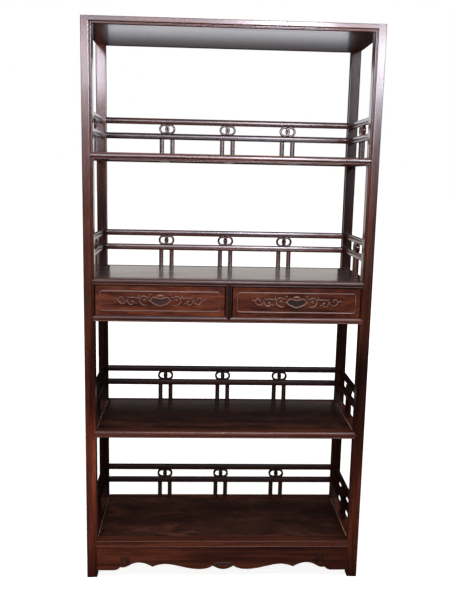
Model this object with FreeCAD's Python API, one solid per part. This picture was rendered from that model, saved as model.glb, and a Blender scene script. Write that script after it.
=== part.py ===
import FreeCAD, Part
import math
import os

Vector = FreeCAD.Vector

# Open hardwood bookcase: four posts, a top, four shelves, two drawers between
# the shelves, and a low open gallery round the back and sides of each shelf.
# Millimetres. X runs from left to right, Y from front to back and Z up.
# The origin is on the floor, under the middle of the cabinet.

# Whole cabinet
cabinet_width = 960.0
cabinet_depth = 380.0
post_side = 35.0

# Heights in the order in which they are stacked, from the floor up
floor_to_bottom_shelf = 114.0
bottom_shelf_thick = 23.0
bottom_bay_height = 381.0
middle_shelf_thick = 23.0
middle_bay_height = 383.0
drawer_floor_thick = 20.0
drawer_bay_height = 103.0
drawer_shelf_thick = 21.0
upper_bay_height = 385.0
upper_shelf_thick = 23.0
top_bay_height = 388.0
top_thick = 26.0

# Moulding along the posts and the top rails: a flat that rolls over to a quirk,
# then a round bead on the arris
bead_width = 7.0
quirk_width = 1.0
quirk_depth = 2.0
roll_width = 5.0
outer_corner_radius = 2.0

# Moulding along the shelf rails: a full nose over a small bead
nose_relief = 4.0
nose_bead_height = 5.0
nose_bead_relief = 2.0
nose_quirk_height = 0.8

# Moulding along the bottom shelf's rails: a flat between two small beads
edge_bead_height = 3.2
edge_bead_relief = 1.4

# Joints between rails and posts
shoulder_lap = 10.0
shoulder_depth = 8.0
tenon_length = 22.0
tenon_width = 14.0
tenon_thick_share = 0.34
upper_tenon_share = 0.75
lower_tenon_share = 0.25
middle_tenon_share = 0.5
mortise_end_gap = 1.0
joint_clearance = 0.1

# Floating panels and boards
panel_thick = 10.0
panel_gap = 0.4
tongue_length = 5.0
tongue_thick = 4.0

# Battens that stiffen a panel
batten_width = 26.0
batten_count = 3
batten_key_height = 3.0
batten_key_neck = 14.0
batten_key_head = 18.0
batten_tenon_length = 7.0
batten_tenon_width = 16.0
batten_tenon_share = 0.5

# Gallery on each shelf
gallery_height = 136.0
gallery_rail_height = 22.0
gallery_rail_depth = 16.0
gallery_rail_bow_radius = 25.0
gallery_rail_edge_radius = 4.5
gallery_ring_space = 31.5
gallery_tenon_length = 8.0
gallery_tenon_share = 0.55
ring_outer_radius = 19.0
ring_wall = 7.7
ring_thick = 13.0
ring_edge_radius = 3.0
ring_spacing = 22.0
stile_width = 16.2
stile_depth = 13.0
stile_bow_radius = 18.0
stile_edge_radius = 3.4
stile_spacing = 39.0
stile_tenon_length = 6.0
stile_tenon_share = 0.6

# Divider between the drawers
divider_width = 21.5
divider_edge_radius = 2.5
divider_tenon_length = 7.0

# Boards that close the drawer case, and the strips that guide the drawers
case_board_thick = 10.0
case_board_setback = 8.0
guide_height = 20.0

# Drawers
drawer_side_gap = 3.2
drawer_top_gap = 3.0
drawer_running_gap = 0.4
drawer_back_gap = 1.0
drawer_setback = 5.0
drawer_front_thick = 18.0
drawer_side_thick = 10.0
drawer_back_thick = 10.0
drawer_back_drop = 4.0
drawer_bottom_thick = 6.0
drawer_bottom_height = 8.0
dovetail_length = 12.0
dovetail_count = 3
dovetail_root_share = 0.46
dovetail_tip_share = 0.6

# Border and finger pull on each drawer front. The pull is a scooped recess: its floor
# is deepest at the top, where a lip hangs over it.
border_side_margin = 15.5
border_end_margin = 17.0
border_width = 3.6
border_relief = 1.8
border_clip = 6.0
pull_width = 58.0
pull_height = 24.6
pull_drop = 1.4
pull_depth = 13.0
pull_lower_depth = 1.5
pull_lip_thick = 7.0
pull_undercut = 4.5

# Aprons under the bottom shelf
apron_thick = 16.0
apron_setback = 3.0
apron_tongue_length = 5.0
apron_tongue_thick = 6.0
apron_tongue_inset = 8.0

# One overrun serves all cuts
overrun = 4.0

# The nose of a shelf rail from its foot to the rail's top, as shares of the nose's relief
# and of its height. A smooth curve runs through these points.
nose_outline_shares = [(0.5, 0.0), (0.13, 0.1), (0.02, 0.25), (0.06, 0.45), (0.18, 0.66), (0.4, 0.84), (1.0, 1.0)]

# Half of the border's cross-section, as shares of its width and of its relief
border_profile_shares = [(0.5, 0.0), (0.4, 0.6), (0.18, 1.0)]

# The finger pull's right half, from the top middle round to the bottom middle, as
# shares of half its width and half its height. A smooth curve runs through these points.
pull_outline_shares = [
    (0.0, 0.53), (0.24, 0.73), (0.45, 0.93), (0.66, 1.0), (0.86, 0.81), (1.0, 0.28),
    (0.885, -0.21), (0.52, -0.64), (0.16, -0.91), (0.0, -1.0),
]

# The curved floor of the finger pull: how deep it is halfway along its arc, as a share of
# the depth, and how high that place and the arc's upper end are, as shares of half the height
pull_floor_middle_share = 0.76
pull_floor_middle_height_share = -0.2
pull_floor_top_height_share = 0.8

# The lower edge of the right half of each apron, from the middle to the post, as
# shares of half the apron's length and of its height. Each row is one smooth run.
front_apron_shares = [
    [(0.0, 0.246), (0.030, 0.262), (0.060, 0.308), (0.084, 0.360)],
    [(0.084, 0.360), (0.125, 0.278), (0.191, 0.246), (0.274, 0.281), (0.371, 0.368),
     (0.461, 0.421), (0.520, 0.390), (0.562, 0.329)],
    [(0.562, 0.329), (0.611, 0.424), (0.674, 0.474), (0.730, 0.417), (0.771, 0.330), (0.818, 0.318)],
    [(0.818, 0.318), (0.838, 0.250), (0.868, 0.215)],
    [(0.868, 0.215), (1.0, 0.215)],
]
side_apron_shares = [
    [(0.0, 0.470), (0.25, 0.462), (0.45, 0.400), (0.56, 0.329)],
    [(0.56, 0.329), (0.64, 0.318), (0.70, 0.318)],
    [(0.70, 0.318), (0.74, 0.250), (0.80, 0.215)],
    [(0.80, 0.215), (1.0, 0.215)],
]

# Places that follow from the sizes above
half_width = cabinet_width / 2
half_depth = cabinet_depth / 2
clear_width = cabinet_width - 2 * post_side
clear_depth = cabinet_depth - 2 * post_side
bottom_shelf_top = floor_to_bottom_shelf + bottom_shelf_thick
middle_shelf_low = bottom_shelf_top + bottom_bay_height
middle_shelf_top = middle_shelf_low + middle_shelf_thick
drawer_floor_low = middle_shelf_top + middle_bay_height
drawer_floor_top = drawer_floor_low + drawer_floor_thick
drawer_shelf_low = drawer_floor_top + drawer_bay_height
drawer_shelf_top = drawer_shelf_low + drawer_shelf_thick
upper_shelf_low = drawer_shelf_top + upper_bay_height
upper_shelf_top = upper_shelf_low + upper_shelf_thick
top_low = upper_shelf_top + top_bay_height
cabinet_height = top_low + top_thick

bead_radius = bead_width + quirk_depth - math.sqrt(2 * bead_width * quirk_depth)
roll_radius = (roll_width ** 2 + quirk_depth ** 2) / (2 * quirk_depth)
moulding_width = bead_width + quirk_width + roll_width
groove_depth = tongue_length + mortise_end_gap
batten_spacing = clear_width / (batten_count + 1)
lower_gallery_rail_low = gallery_height - 2 * gallery_rail_height - gallery_ring_space

# One drawer, front face at y = 0 and underside at z = 0
drawer_width = clear_width / 2 - divider_width / 2 - 2 * drawer_side_gap
drawer_height = drawer_bay_height - drawer_running_gap - drawer_top_gap
drawer_length = cabinet_depth - drawer_setback - case_board_setback - case_board_thick - drawer_back_gap
drawer_middle = divider_width / 2 + drawer_side_gap + drawer_width / 2
drawer_inside = drawer_width - 2 * drawer_side_thick
drawer_bottom_top = drawer_bottom_height + drawer_bottom_thick
drawer_back_top = drawer_height - drawer_back_drop


# Small tools

def box(x_low, x_high, y_low, y_high, z_low, z_high):
    low = Vector(x_low, y_low, z_low)
    return Part.makeBox(x_high - x_low, y_high - y_low, z_high - z_low, low)


def line(start, end):
    return Part.LineSegment(start, end).toShape()


def arc(start, middle, end):
    return Part.Arc(start, middle, end).toShape()


def smooth_edge(points):
    """One smooth curve through all the points, or a straight line between two."""
    if len(points) == 2:
        return line(points[0], points[1])
    curve = Part.BSplineCurve()
    curve.interpolate(points)
    return curve.toShape()


def face(edges):
    return Part.Face(Part.Wire(Part.__sortEdges__(edges)))


def polygon(points):
    return Part.Face(Part.makePolygon(points + points[:1]))


def flipped_side(shape):
    """The same shape on the other side of the cabinet's middle, left for right."""
    return shape.mirror(Vector(0, 0, 0), Vector(1, 0, 0))


def flipped_front(shape):
    """The same shape on the other side of the cabinet's middle, front for back."""
    return shape.mirror(Vector(0, 0, 0), Vector(0, 1, 0))


def placed(shape, turn, x, y, z):
    """A copy turned about Z by the angle turn, then moved."""
    moved = shape.copy()
    moved.rotate(Vector(0, 0, 0), Vector(0, 0, 1), turn)
    moved.translate(Vector(x, y, z))
    return moved


def joined(shapes):
    return shapes[0].fuse(shapes[1:]).removeSplitter()


def rounded_rectangle(width, height, radius, at):
    """A rectangle with round corners about the origin. at(across, up) gives the point in its plane."""
    side = width / 2
    top = height / 2
    turn = radius * (1 - math.sqrt(0.5))
    edges = []
    for across in (-1, 1):
        edges.append(line(at(across * side, radius - top), at(across * side, top - radius)))
        edges.append(line(at(radius - side, across * top), at(side - radius, across * top)))
        for up in (-1, 1):
            start = at(across * side, up * (top - radius))
            middle = at(across * (side - turn), up * (top - turn))
            end = at(across * (side - radius), up * top)
            edges.append(arc(start, middle, end))
    return face(edges)


def bowed_section(width, depth, bow_radius, edge_radius, at):
    """Section of a bar with two bowed faces that roll over to flat sides. at(across, out) gives
    the point that lies across the faces and out towards one of them."""
    half = width / 2
    edge_across = half - edge_radius
    turn = math.asin(edge_across / (bow_radius - edge_radius))
    middle_turn = (turn + math.pi / 2) / 2
    bow_centre = depth / 2 - bow_radius
    edge_out = bow_centre + (bow_radius - edge_radius) * math.cos(turn)
    bow_across = bow_radius * math.sin(turn)
    bow_out = bow_centre + bow_radius * math.cos(turn)
    roll_across = edge_across + edge_radius * math.sin(middle_turn)
    roll_out = edge_out + edge_radius * math.cos(middle_turn)
    edges = []
    for side in (-1, 1):
        bow_start = at(-bow_across, side * bow_out)
        bow_end = at(bow_across, side * bow_out)
        edges.append(arc(bow_start, at(0, side * depth / 2), bow_end))
        edges.append(line(at(side * half, -edge_out), at(side * half, edge_out)))
        for up in (-1, 1):
            start = at(side * bow_across, up * bow_out)
            middle = at(side * roll_across, up * roll_out)
            edges.append(arc(start, middle, at(side * half, up * edge_out)))
    return face(edges)


# Mouldings

def moulding(at):
    """Edges from the bead's turn to the start of the flat. at(inward, deep) gives the point
    that lies inward from the opening's edge and deep below the face."""
    half_roll = math.asin(roll_width / roll_radius) / 2
    roll_middle_across = moulding_width - roll_radius * math.sin(half_roll)
    roll_middle = at(roll_middle_across, roll_radius * (1 - math.cos(half_roll)))
    quirk_start = at(bead_width, quirk_depth)
    quirk_end = at(bead_width + quirk_width, quirk_depth)
    return [
        arc(at(0, bead_radius), at(bead_radius, 0), quirk_start),
        line(quirk_start, quirk_end),
        arc(quirk_end, roll_middle, at(moulding_width, 0)),
    ]


def post_section():
    """Plan of the front left post with its outer corner at the origin. Both outer faces are moulded."""
    turn = outer_corner_radius * (1 - math.sqrt(0.5))
    flat_end = post_side - moulding_width
    edges = moulding(lambda inward, deep: Vector(post_side - inward, deep))
    edges += moulding(lambda inward, deep: Vector(deep, post_side - inward))
    edges.append(line(Vector(post_side, bead_radius), Vector(post_side, post_side)))
    edges.append(line(Vector(post_side, post_side), Vector(bead_radius, post_side)))
    edges.append(line(Vector(flat_end, 0), Vector(outer_corner_radius, 0)))
    edges.append(arc(Vector(outer_corner_radius, 0), Vector(turn, turn), Vector(0, outer_corner_radius)))
    edges.append(line(Vector(0, outer_corner_radius), Vector(0, flat_end)))
    return face(edges)


def top_section():
    """End view of a top rail, outer face at y = 0 and underside at z = 0."""
    turn = outer_corner_radius * (1 - math.sqrt(0.5))
    roof_edge = Vector(0, outer_corner_radius, top_thick)
    face_edge = Vector(0, 0, top_thick - outer_corner_radius)
    edges = moulding(lambda inward, deep: Vector(0, deep, inward))
    edges.append(line(Vector(0, 0, moulding_width), face_edge))
    edges.append(arc(face_edge, Vector(0, turn, top_thick - turn), roof_edge))
    edges.append(line(roof_edge, Vector(0, post_side, top_thick)))
    edges.append(line(Vector(0, post_side, top_thick), Vector(0, post_side, 0)))
    edges.append(line(Vector(0, post_side, 0), Vector(0, bead_radius, 0)))
    return face(edges)


def nose_section(thick):
    """End view of a shelf rail: a full nose over a small bead."""
    bead_low = Vector(0, nose_bead_relief, 0)
    bead_high = Vector(0, nose_bead_relief, nose_bead_height)
    nose_low = nose_bead_height + nose_quirk_height
    nose_height = thick - nose_low
    nose = [Vector(0, deep * nose_relief, nose_low + up * nose_height) for deep, up in nose_outline_shares]
    edges = [
        arc(bead_low, Vector(0, 0, nose_bead_height / 2), bead_high),
        line(bead_high, nose[0]),
        smooth_edge(nose),
        line(nose[-1], Vector(0, post_side, thick)),
        line(Vector(0, post_side, thick), Vector(0, post_side, 0)),
        line(Vector(0, post_side, 0), bead_low),
    ]
    return face(edges)


def edge_bead_section(thick):
    """End view of a bottom shelf rail: a flat between two small beads."""
    flat = edge_bead_relief / 2
    edges = []
    for low in (0, thick - edge_bead_height):
        bead_low = Vector(0, edge_bead_relief, low)
        bead_high = Vector(0, edge_bead_relief, low + edge_bead_height)
        edges.append(arc(bead_low, Vector(0, 0, low + edge_bead_height / 2), bead_high))
    flat_low = Vector(0, flat, edge_bead_height)
    flat_high = Vector(0, flat, thick - edge_bead_height)
    edges.append(line(Vector(0, edge_bead_relief, edge_bead_height), flat_low))
    edges.append(line(flat_low, flat_high))
    edges.append(line(flat_high, Vector(0, edge_bead_relief, thick - edge_bead_height)))
    edges.append(line(Vector(0, edge_bead_relief, thick), Vector(0, post_side, thick)))
    edges.append(line(Vector(0, post_side, thick), Vector(0, post_side, 0)))
    edges.append(line(Vector(0, post_side, 0), Vector(0, edge_bead_relief, 0)))
    return face(edges)


def divider_section():
    """Divider in the same attitude as a rail, its width upright."""
    turn = divider_edge_radius * (1 - math.sqrt(0.5))
    low_side = Vector(0, divider_edge_radius, 0)
    low_front = Vector(0, 0, divider_edge_radius)
    high_front = Vector(0, 0, divider_width - divider_edge_radius)
    high_side = Vector(0, divider_edge_radius, divider_width)
    edges = [
        arc(low_side, Vector(0, turn, turn), low_front),
        line(low_front, high_front),
        arc(high_front, Vector(0, turn, divider_width - turn), high_side),
        line(high_side, Vector(0, post_side, divider_width)),
        line(Vector(0, post_side, divider_width), Vector(0, post_side, 0)),
        line(Vector(0, post_side, 0), low_side),
    ]
    return face(edges)


# Rails with lapped shoulders and tenons

def pointed_lap(thick):
    """Outline of a pointed shoulder, as distances over the post and up the rail."""
    return [(0, 0), (shoulder_lap, thick / 2), (0, thick)]


def mitred_lap(thick):
    """Outline of the top rail's shoulder: a mitre across the moulding, then an upright joint."""
    return [(0, 0), (moulding_width, moulding_width), (moulding_width, thick), (0, thick)]


def lap_prism(outline, end, depth):
    points = [Vector(end + over, -overrun, up) for over, up in outline]
    return polygon(points).extrude(Vector(0, overrun + depth, 0))


def tenon_box(end, length, thick, share, clearance):
    """A tenon, or with a clearance its mortise, at the rail's end that lies towards +X."""
    middle = share * thick
    half_thick = tenon_thick_share * thick / 2 + clearance
    half_across = tenon_width / 2 + clearance
    front = post_side / 2 - half_across
    back = post_side / 2 + half_across
    return box(end, end + length, front, back, middle - half_thick, middle + half_thick)


def rail(section, length, thick, lap, share, reach):
    """A rail along X, outer face at y = 0, underside at z = 0, shoulders at half its length."""
    end = length / 2
    over_post = max(over for over, up in lap)
    long_bar = section.extrude(Vector(length + 2 * over_post, 0, 0))
    long_bar.translate(Vector(-end - over_post, 0, 0))
    bar = long_bar.common(box(-end, end, -overrun, post_side + overrun, -overrun, thick + overrun))
    shoulder = long_bar.common(lap_prism(lap, end, shoulder_depth))
    tenon = tenon_box(end, reach, thick, share, 0)
    return joined([bar, shoulder, flipped_side(shoulder), tenon, flipped_side(tenon)])


def rail_socket(length, thick, lap, share, reach):
    """What the rail's end towards +X needs cut out of the piece that it joins."""
    end = length / 2
    shoulder = lap_prism(lap, end, shoulder_depth + joint_clearance)
    mortise = tenon_box(end, reach + mortise_end_gap, thick, share, joint_clearance)
    return shoulder.fuse(mortise)


def tongue_groove(length, low):
    """The groove along the inner face of a rail for a tongue that starts at the height low."""
    bottom = post_side - groove_depth
    slot_low = low - joint_clearance
    slot_high = low + tongue_thick + joint_clearance
    return box(-length / 2, length / 2, bottom, post_side + overrun, slot_low, slot_high)


def tongued_board(width, depth, thick, tongue_low, tongue_high):
    """A flat board about the origin, underside at z = 0, with a tongue along each edge."""
    half_x = width / 2
    half_y = depth / 2
    inner_x = half_x - panel_gap
    inner_y = half_y - panel_gap
    outer_x = half_x + tongue_length
    outer_y = half_y + tongue_length
    board = box(-inner_x, inner_x, -inner_y, inner_y, 0, thick)
    side_tongues = box(-outer_x, outer_x, -inner_y, inner_y, tongue_low, tongue_high)
    end_tongues = box(-inner_x, inner_x, -outer_y, outer_y, tongue_low, tongue_high)
    return joined([board, side_tongues, end_tongues])


# The five levels: each is a frame of four rails round a floating panel

def level(low, thick, section, lap, panel_low):
    """Name and size of one level. panel_low is the height of the panel's underside above the rails'."""
    if panel_low > 0:
        tongue_low = panel_low
    else:
        tongue_low = panel_thick - tongue_thick
    return {
        "low": low,
        "thick": thick,
        "section": section,
        "lap": lap,
        "panel_low": panel_low,
        "tongue_low": tongue_low,
    }


def shelf_level(low, thick):
    return level(low, thick, nose_section(thick), pointed_lap(thick), thick - panel_thick)


levels = {
    "bottom_shelf": level(
        floor_to_bottom_shelf, bottom_shelf_thick, edge_bead_section(bottom_shelf_thick),
        pointed_lap(bottom_shelf_thick), bottom_shelf_thick - panel_thick),
    "middle_shelf": shelf_level(middle_shelf_low, middle_shelf_thick),
    "drawer_floor": shelf_level(drawer_floor_low, drawer_floor_thick),
    "drawer_shelf": shelf_level(drawer_shelf_low, drawer_shelf_thick),
    "upper_shelf": shelf_level(upper_shelf_low, upper_shelf_thick),
    "top": level(top_low, top_thick, top_section(), mitred_lap(top_thick), 0),
}
battened = ["bottom_shelf", "middle_shelf", "upper_shelf", "top"]
galleried = ["bottom_shelf", "middle_shelf", "drawer_shelf", "upper_shelf"]


def level_rail(name, length, share):
    this = levels[name]
    whole = rail(this["section"], length, this["thick"], this["lap"], share, tenon_length)
    return whole.cut(tongue_groove(length, this["tongue_low"]))


def level_socket(name, length, share):
    this = levels[name]
    return rail_socket(length, this["thick"], this["lap"], share, tenon_length)


def level_panel(name):
    this = levels[name]
    tongue_low = this["tongue_low"] - this["panel_low"]
    panel = tongued_board(clear_width, clear_depth, panel_thick, tongue_low, tongue_low + tongue_thick)
    return placed(panel, 0, 0, 0, this["low"] + this["panel_low"])


# Battens

def batten_key(clearance):
    """The dovetailed key on top of a batten, about x = 0 and standing on z = 0."""
    neck = batten_key_neck / 2 + clearance
    head = batten_key_head / 2 + clearance
    high = batten_key_height + clearance
    points = [(-neck, -clearance), (neck, -clearance), (head, high), (-head, high)]
    section = polygon([Vector(x, -clear_depth / 2, z) for x, z in points])
    return section.extrude(Vector(0, clear_depth, 0))


def batten_tenons(height, clearance, end_gap):
    """Both stub tenons of a batten in one bar. The batten's top is at z = 0."""
    half_across = batten_tenon_width / 2 + clearance
    half_up = batten_tenon_share * height / 2 + clearance
    end = clear_depth / 2 + batten_tenon_length + end_gap
    return box(-half_across, half_across, -end, end, -height / 2 - half_up, -height / 2 + half_up)


def batten_height(name):
    return levels[name]["thick"] - panel_thick


def batten_placed(name, shape, x):
    """A batten shape hung under the level's panel, or stood on the top's panel."""
    this = levels[name]
    if this["panel_low"] > 0:
        return placed(shape, 0, x, 0, this["low"] + this["panel_low"])
    upright = shape.mirror(Vector(0, 0, 0), Vector(0, 0, 1))
    return placed(upright, 0, x, 0, this["low"] + panel_thick)


def batten_places():
    middle = (batten_count + 1) / 2
    return [(number + 1 - middle) * batten_spacing for number in range(batten_count)]


def level_battens(name):
    height = batten_height(name)
    half_across = batten_width / 2
    bar = box(-half_across, half_across, -clear_depth / 2, clear_depth / 2, -height, 0)
    batten = joined([bar, batten_key(0), batten_tenons(height, 0, 0)])
    return [batten_placed(name, batten, x) for x in batten_places()]


def batten_grooves(name):
    return [batten_placed(name, batten_key(joint_clearance), x) for x in batten_places()]


def batten_mortises(name):
    mortises = batten_tenons(batten_height(name), joint_clearance, mortise_end_gap)
    return [batten_placed(name, mortises, x) for x in batten_places()]


# Gallery: built along X about x = 0 and y = 0, standing on z = 0

def gallery_rail(length, low):
    at_section = lambda across, out: Vector(-length / 2, out, across + low + gallery_rail_height / 2)
    section = bowed_section(
        gallery_rail_height, gallery_rail_depth, gallery_rail_bow_radius, gallery_rail_edge_radius, at_section)
    tenon = gallery_tenon(length, low, 0, 0)
    return joined([section.extrude(Vector(length, 0, 0)), tenon, flipped_side(tenon)])


def gallery_tenon(length, low, clearance, end_gap):
    """The tenon, or with a clearance its mortise, at the end towards +X."""
    start = length / 2
    half_across = gallery_tenon_share * gallery_rail_depth / 2 + clearance
    half_up = gallery_tenon_share * gallery_rail_height / 2 + clearance
    middle = low + gallery_rail_height / 2
    end = start + gallery_tenon_length + end_gap
    return box(start, end, -half_across, half_across, middle - half_up, middle + half_up)


def gallery_sockets(length):
    """Mortises for both gallery rails at the end towards +X."""
    upper_low = gallery_height - gallery_rail_height
    upper = gallery_tenon(length, upper_low, joint_clearance, mortise_end_gap)
    lower = gallery_tenon(length, lower_gallery_rail_low, joint_clearance, mortise_end_gap)
    return [upper, lower]


def double_ring():
    """Two rings that run through each other, about the origin in the XZ plane."""
    ring_middle = ring_outer_radius - ring_wall / 2
    at_section = lambda across, up: Vector(ring_middle + across, up, 0)
    section = rounded_rectangle(ring_wall, ring_thick, ring_edge_radius, at_section)
    ring = section.revolve(Vector(0, 0, 0), Vector(0, 1, 0), 360)
    right = placed(ring, 0, ring_spacing / 2, 0, 0)
    return right.fuse(flipped_side(right))


def ring_housings(x):
    """The round recesses that hold a double ring between the two rails."""
    radius = ring_outer_radius + joint_clearance
    half_thick = ring_thick / 2 + joint_clearance
    height = lower_gallery_rail_low + gallery_rail_height + gallery_ring_space / 2
    recesses = []
    for side in (-1, 1):
        start = Vector(x + side * ring_spacing / 2, -half_thick, height)
        recesses.append(Part.makeCylinder(radius, 2 * half_thick, start, Vector(0, 1, 0)))
    return recesses


def stile_tenons(clearance, end_gap):
    """Both tenons of a stile in one bar. The stile stands on z = 0."""
    half_across = stile_tenon_share * stile_width / 2 + clearance
    half_deep = stile_tenon_share * stile_depth / 2 + clearance
    low = -stile_tenon_length - end_gap
    high = lower_gallery_rail_low + stile_tenon_length + end_gap
    return box(-half_across, half_across, -half_deep, half_deep, low, high)


def stile():
    at_section = lambda across, out: Vector(across, out, 0)
    section = bowed_section(stile_width, stile_depth, stile_bow_radius, stile_edge_radius, at_section)
    body = section.extrude(Vector(0, 0, lower_gallery_rail_low))
    return joined([body, stile_tenons(0, 0)])


def gallery_side(length, pairs):
    """Rails, rings and stiles of one side of a gallery, and the mortises under its stiles."""
    places = [x + side * stile_spacing / 2 for x in pairs for side in (-1, 1)]
    mortises = [placed(stile_tenons(joint_clearance, mortise_end_gap), 0, x, 0, 0) for x in places]
    housings = [recess for x in pairs for recess in ring_housings(x)]
    upper = gallery_rail(length, gallery_height - gallery_rail_height).cut(housings)
    lower = gallery_rail(length, lower_gallery_rail_low).cut(housings + mortises)
    ring_height = lower_gallery_rail_low + gallery_rail_height + gallery_ring_space / 2
    return {
        "rails": [upper, lower],
        "rings": [placed(double_ring(), 0, x, 0, ring_height) for x in pairs],
        "stiles": [placed(stile(), 0, x, 0, 0) for x in places],
        "mortises": mortises,
    }


gallery_line = post_side / 2
back_gallery = gallery_side(clear_width, [-clear_width / 4, 0, clear_width / 4])
flank_gallery = gallery_side(clear_depth, [0])


def gallery_pieces(name, kind):
    """Back, left and right pieces of one kind on one shelf."""
    top = levels[name]["low"] + levels[name]["thick"]
    back = [placed(piece, 0, 0, half_depth - gallery_line, top) for piece in back_gallery[kind]]
    left = [placed(piece, -90, gallery_line - half_width, 0, top) for piece in flank_gallery[kind]]
    right = [placed(piece, 90, half_width - gallery_line, 0, top) for piece in flank_gallery[kind]]
    return back + left + right


# Boards and guides of the drawer case

case_board_inner = case_board_setback + case_board_thick


def case_board(length):
    """An upright board as long as the space between two posts, about x = 0, outer face at y = 0."""
    board = tongued_board(length, drawer_bay_height, case_board_thick, 0, case_board_thick)
    board.rotate(Vector(0, 0, 0), Vector(1, 0, 0), 90)
    board.translate(Vector(0, case_board_thick, drawer_bay_height / 2))
    return board


def case_board_groove(length):
    """The slot that a case board's tongues fill in the posts and rails round it."""
    half_x = length / 2 + groove_depth
    low = -joint_clearance
    high = case_board_thick + joint_clearance
    upright = box(-half_x, half_x, low, high, 0, drawer_bay_height)
    level_slot = box(-length / 2, length / 2, low, high, -groove_depth, drawer_bay_height + groove_depth)
    return upright.fuse(level_slot)


def case_boards_placed(shape_for):
    """The back, left and right shapes of the case boards or their grooves."""
    back = placed(shape_for(clear_width), 180, 0, half_depth - case_board_setback, drawer_floor_top)
    left = placed(shape_for(clear_depth), -90, case_board_setback - half_width, 0, drawer_floor_top)
    return [back, left, flipped_side(left)]


def divider():
    """The front divider, built as a rail and stood on end."""
    upright = rail(
        divider_section(), drawer_bay_height, divider_width, divider_lap(), middle_tenon_share,
        divider_tenon_length)
    return stood_up(upright)


def divider_lap():
    return [(0, 0), (divider_width / 2, divider_width / 2), (0, divider_width)]


def divider_sockets():
    socket = rail_socket(
        drawer_bay_height, divider_width, divider_lap(), middle_tenon_share, divider_tenon_length)
    return [stood_up(socket), stood_up(flipped_side(socket))]


def stood_up(shape):
    """Turns a shape made along X upright, in the middle of the drawer bay's front."""
    upright = shape.copy()
    upright.translate(Vector(0, 0, -divider_width / 2))
    upright.rotate(Vector(0, 0, 0), Vector(0, 1, 0), -90)
    upright.translate(Vector(0, -half_depth, drawer_floor_top + drawer_bay_height / 2))
    return upright


def drawer_guides():
    """Strips beside the drawers on the drawer floor, and kickers over the drawer sides."""
    inner = divider_width / 2 + drawer_side_gap - drawer_running_gap
    outer = clear_width / 2 - drawer_side_gap + drawer_running_gap
    board = half_width - case_board_inner
    back = half_depth - case_board_inner
    front = post_side - half_depth
    kicker_low = drawer_shelf_low
    kicker_high = drawer_shelf_top - panel_thick
    kicker_reach = drawer_side_gap + drawer_side_thick
    guide_top = drawer_floor_top + guide_height
    side_guide = box(outer, board, front, clear_depth / 2, drawer_floor_top, guide_top)
    middle_guide = box(-inner, inner, front, back, drawer_floor_top, guide_top)
    kicker_side = clear_width / 2 - kicker_reach
    side_kicker = box(kicker_side, clear_width / 2, front, clear_depth / 2, kicker_low, kicker_high)
    half_kicker = divider_width / 2 + kicker_reach
    middle_kicker = box(-half_kicker, half_kicker, front, clear_depth / 2, kicker_low, kicker_high)
    return [
        side_guide, flipped_side(side_guide), middle_guide,
        side_kicker, flipped_side(side_kicker), middle_kicker,
    ]


# Drawers: each piece is built about x = 0 with the front's face at y = 0 and underside at z = 0

def dovetails(y_root, y_tip, low, high, clearance):
    """Tails in the drawer side towards +X, between two heights. They widen from root to tip."""
    outer = drawer_width / 2
    inner = outer - drawer_side_thick
    pitch = (high - low) / dovetail_count
    root = dovetail_root_share * pitch / 2 + clearance
    tip = dovetail_tip_share * pitch / 2 + clearance
    tails = []
    for number in range(dovetail_count):
        middle = low + (number + 1 / 2) * pitch
        points = [
            (y_root, middle - root), (y_tip, middle - tip),
            (y_tip, middle + tip), (y_root, middle + root),
        ]
        section = polygon([Vector(inner, y, z) for y, z in points])
        tails.append(section.extrude(Vector(outer - inner, 0, 0)))
    return tails


def front_tails(clearance):
    tip = drawer_front_thick - dovetail_length - clearance
    return dovetails(drawer_front_thick, tip, 0, drawer_height, clearance)


def back_tails(clearance):
    root = drawer_length - drawer_back_thick
    return dovetails(root, drawer_length, drawer_bottom_top, drawer_back_top, clearance)


def both_sides(shapes):
    return shapes + [flipped_side(shape) for shape in shapes]


def pull_prism(start, end, up):
    """The finger pull's outline about its own middle, run from one depth to another and moved up."""
    edges = []
    for side in (-1, 1):
        points = []
        for across, height in pull_outline_shares:
            points.append(Vector(side * across * pull_width / 2, start, up + height * pull_height / 2))
        edges.append(smooth_edge(points))
    return face(edges).extrude(Vector(0, end - start, 0))


def finger_pull():
    """The recess under the two fingers that pull the drawer, about its own middle."""
    mouth = pull_prism(-overrun, pull_depth, 0)
    undercut = pull_prism(pull_lip_thick, pull_depth, pull_undercut)
    half = pull_width / 2 + overrun
    low = -pull_height / 2 - overrun
    high = pull_height / 2 + pull_undercut + overrun
    floor_low = Vector(-half, pull_lower_depth, low)
    middle_height = pull_floor_middle_height_share * pull_height / 2
    floor_middle = Vector(-half, pull_floor_middle_share * pull_depth, middle_height)
    floor_high = Vector(-half, pull_depth, pull_floor_top_height_share * pull_height / 2)
    edges = [
        arc(floor_low, floor_middle, floor_high),
        line(floor_high, Vector(-half, pull_depth, high)),
        line(Vector(-half, pull_depth, high), Vector(-half, -overrun, high)),
        line(Vector(-half, -overrun, high), Vector(-half, -overrun, low)),
        line(Vector(-half, -overrun, low), floor_low),
    ]
    room = face(edges).extrude(Vector(2 * half, 0, 0))
    return mouth.fuse(undercut).common(room)


def border_wire(inward, proud):
    """The border's line, moved inward and lifted off the drawer's face."""
    side = drawer_width / 2 - border_side_margin - inward
    top = drawer_height / 2 - border_end_margin - inward
    clip = border_clip - inward * (2 - math.sqrt(2))
    corners = [
        (side - clip, top), (side, top - clip), (side, clip - top), (side - clip, -top),
        (clip - side, -top), (-side, clip - top), (-side, top - clip), (clip - side, top),
    ]
    points = [Vector(x, -proud, drawer_height / 2 + z) for x, z in corners]
    return Part.makePolygon(points + points[:1])


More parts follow.
